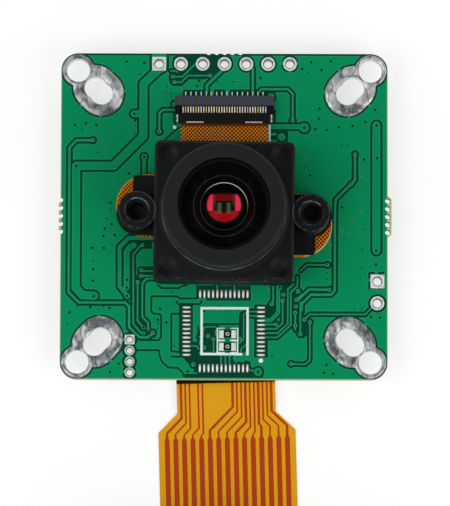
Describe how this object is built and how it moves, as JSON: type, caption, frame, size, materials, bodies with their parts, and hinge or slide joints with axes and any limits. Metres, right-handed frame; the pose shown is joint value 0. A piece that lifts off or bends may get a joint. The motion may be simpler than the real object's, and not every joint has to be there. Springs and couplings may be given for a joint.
{
  "type": "camera module",
  "caption": "Small square circuit board with a screw-in lens in a black holder, an image sensor on a flexible circuit, flat-cable connectors and an amber ribbon cable.",
  "frame": {"origin": "centre of the 34 mm square of corner mounting holes, on the board's front face", "axes": "+Z is the way the lens looks, away from the board's front; the ribbon cable leaves towards -Y and +X is to its right, seen from the front"},
  "size_m": [0.0386, 0.0735, 0.0191],
  "materials": {
    "board": "glossy green solder mask over glass-epoxy laminate",
    "tin": "bright uneven tinned copper",
    "legend_ink": "white printed ink",
    "black_plastic": "glossy black moulding",
    "grey_plastic": "dark grey matt moulding",
    "cream_plastic": "natural cream moulding",
    "flex_film": "orange polyimide over a copper lattice",
    "stiffener": "black laminate",
    "chip_body": "black moulding compound",
    "glass": "clear polished glass",
    "filter_glass": "pale blue-green filter glass",
    "coated_glass": "polished glass with a red reflecting coating",
    "holder_plastic": "fine-grained matt black moulding",
    "screw_steel": "bright zinc-plated steel",
    "barrel": "black anodised metal",
    "gold": "gold-plated spring contacts",
    "ferrite": "dark grey ferrite",
    "capacitor_ceramic": "tan ceramic",
    "ribbon_film": "amber polyimide over copper conductors",
    "blue_film": "blue plastic film"
  },
  "bodies": {
    "board": {"pcb": "board", "mounting_pads": "tin", "header_holes": "tin", "fine_header_holes": "tin", "two_pin_holes": "tin", "chip_lands": "tin", "board_legend": "legend_ink", "resistor_bodies": "black_plastic", "resistor_terminals": "tin", "sensor_flex": "flex_film", "flex_stiffener": "stiffener", "image_sensor": "chip_body", "sensor_cover_glass": "glass", "lens_holder": "holder_plastic", "holder_screws": "screw_steel", "infrared_filter": "filter_glass", "front_connector_housing": "black_plastic", "front_connector_contacts": "gold", "front_connector_tabs": "tin", "rear_connector_housing": "cream_plastic", "rear_connector_contacts": "gold", "rear_connector_tabs": "tin", "processor": "chip_body", "oscillator": "tin", "regulator_bodies": "chip_body", "regulator_leads": "tin", "power_inductors": "ferrite", "capacitor_bodies": "capacitor_ceramic", "capacitor_terminals": "tin", "ribbon_cable": "ribbon_film", "ribbon_connector_stiffener": "stiffener", "ribbon_roll": "ribbon_film", "ribbon_end_stiffener": "blue_film"},
    "lens": {"lens_barrel": "barrel", "front_glass": "coated_glass", "front_retaining_ring": "barrel", "front_spacer": "barrel", "second_glass": "coated_glass", "aperture_stop": "barrel", "middle_glass": "glass", "middle_spacer": "barrel", "rear_glass": "glass", "rear_retaining_ring": "barrel"},
    "front_latch": {"front_connector_latch": "grey_plastic"},
    "rear_latch": {"rear_connector_latch": "grey_plastic"}
  },
  "joints": [
    {"name": "focus", "type": "hinge", "parent": "board", "child": "lens", "pos_m": [0, 0, 0.0108], "axis": [0, 0, 1], "range_deg": [-360, 720]},
    {"name": "front_latch_flip", "type": "hinge", "parent": "board", "child": "front_latch", "pos_m": [0, 0.01299, 0.00078], "axis": [1, 0, 0], "range_deg": [0, 90]},
    {"name": "rear_latch_flip", "type": "hinge", "parent": "board", "child": "rear_latch", "pos_m": [0, -0.01552, -0.00324], "axis": [-1, 0, 0], "range_deg": [0, 90]}
  ]
}
